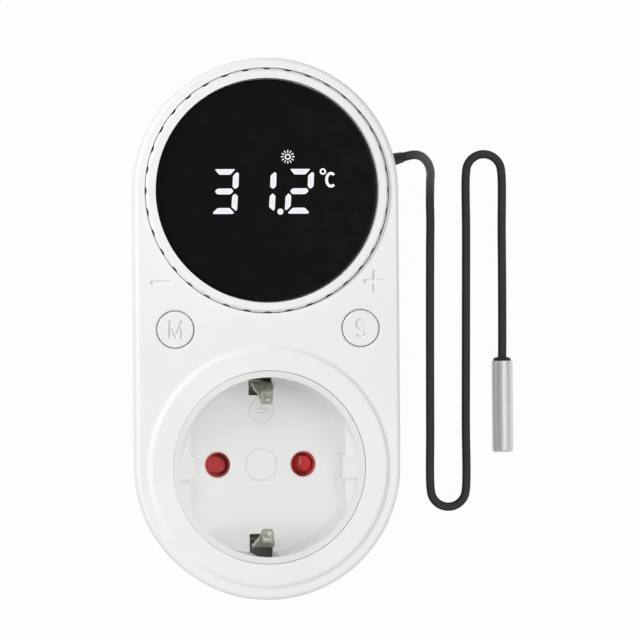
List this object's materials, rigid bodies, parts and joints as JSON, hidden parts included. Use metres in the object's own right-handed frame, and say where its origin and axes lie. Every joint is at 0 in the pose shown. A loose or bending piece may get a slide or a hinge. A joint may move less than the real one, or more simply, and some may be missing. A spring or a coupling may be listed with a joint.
{
  "type": "plug-in temperature controller",
  "caption": "Mains plug adapter that switches its socket by temperature, with a turning dial round a digital display, two push buttons, a shuttered socket and a thin sensor lead.",
  "frame": {"origin": "midway between the two plug pins, on the plug's end face", "axes": "+Z out of the front face, away from the wall outlet; +Y from the socket's centre to the dial's centre; +X to the right seen from the front, the side that the sensor lead leaves"},
  "size_m": [0.0947, 0.1176, 0.075],
  "materials": {
    "cover_plastic": "satin",
    "shell_plastic": "satin",
    "dial_plastic": "satin",
    "button_plastic": "satin",
    "socket_plastic": "satin",
    "shutter_plastic": "satin",
    "lens": "gloss",
    "dark_plastic": "matte",
    "display_plastic": "satin",
    "black_plastic": "matte",
    "gear_plastic": "satin",
    "board": "satin",
    "relay_plastic": "satin",
    "film_plastic": "satin",
    "capacitor_sleeve": "satin",
    "varistor_coat": "satin",
    "fuse_plastic": "satin",
    "brass": "satin",
    "nickelled_strip": "satin",
    "nickelled_pin": "polished",
    "steel": "satin",
    "spring_steel": "satin",
    "probe_steel": "brushed",
    "black_rubber": "matte",
    "cord_jacket": "satin"
  },
  "bodies": {
    "housing": {"front_cover": "cover_plastic", "rear_shell": "shell_plastic", "knob_retainer": "shell_plastic", "display_lens": "lens", "display_carrier": "dark_plastic", "led_display": "display_plastic", "display_board": "board", "control_chip": "black_plastic", "encoder_body": "steel", "tact_switch_m": "black_plastic", "tact_switch_s": "black_plastic", "socket_insert": "socket_plastic", "shutter_spring": "spring_steel", "shutter_plate": "socket_plastic", "live_contact": "brass", "neutral_contact": "brass", "live_link": "brass", "earth_strip_top": "nickelled_strip", "earth_strip_bottom": "nickelled_strip", "earth_bridge": "nickelled_strip", "plug_pin_live": "nickelled_pin", "plug_pin_neutral": "nickelled_pin", "power_board": "board", "relay": "relay_plastic", "film_capacitor": "film_plastic", "electrolytic_capacitor": "capacitor_sleeve", "varistor": "varistor_coat", "fuse": "fuse_plastic", "board_header": "black_plastic", "board_screws": "steel", "housing_screws": "steel", "cable_gland": "black_rubber", "sensor_cord": "cord_jacket", "probe_tube": "probe_steel", "probe_seal": "black_rubber"},
    "knob": {"knob_ring": "dial_plastic"},
    "encoder_shaft": {"encoder_pinion": "gear_plastic"},
    "button_left": {"button_m": "button_plastic", "tact_plunger_m": "dark_plastic"},
    "button_right": {"button_s": "button_plastic", "tact_plunger_s": "dark_plastic"},
    "shutter_rotor": {"shutter": "shutter_plastic"}
  },
  "joints": [
    {"name": "knob_turn", "type": "hinge", "parent": "housing", "child": "knob", "pos_m": [0, 0.06, 0.05], "axis": [0, 0, 1], "continuous": true},
    {"name": "encoder_turn", "type": "hinge", "parent": "housing", "child": "encoder_shaft", "pos_m": [0, 0.04344, 0.045], "axis": [0, 0, 1], "continuous": true},
    {"name": "button_m_press", "type": "slide", "parent": "housing", "child": "button_left", "axis": [0, 0, -1], "range_m": [0, 0.0006], "stiffness_N_per_m": 2500, "springref_m": -0.0004},
    {"name": "button_s_press", "type": "slide", "parent": "housing", "child": "button_right", "axis": [0, 0, -1], "range_m": [0, 0.0006], "stiffness_N_per_m": 2500, "springref_m": -0.0004},
    {"name": "shutter_turn", "type": "hinge", "parent": "housing", "child": "shutter_rotor", "pos_m": [0, 0, 0.0347], "axis": [0, 0, 1], "range_deg": [0, 38], "stiffness_Nm_per_rad": 0.004, "springref_deg": -17.19}
  ],
  "couplings": [
    {"joint": "encoder_turn", "follows": "knob_turn", "ratio": 4}
  ]
}
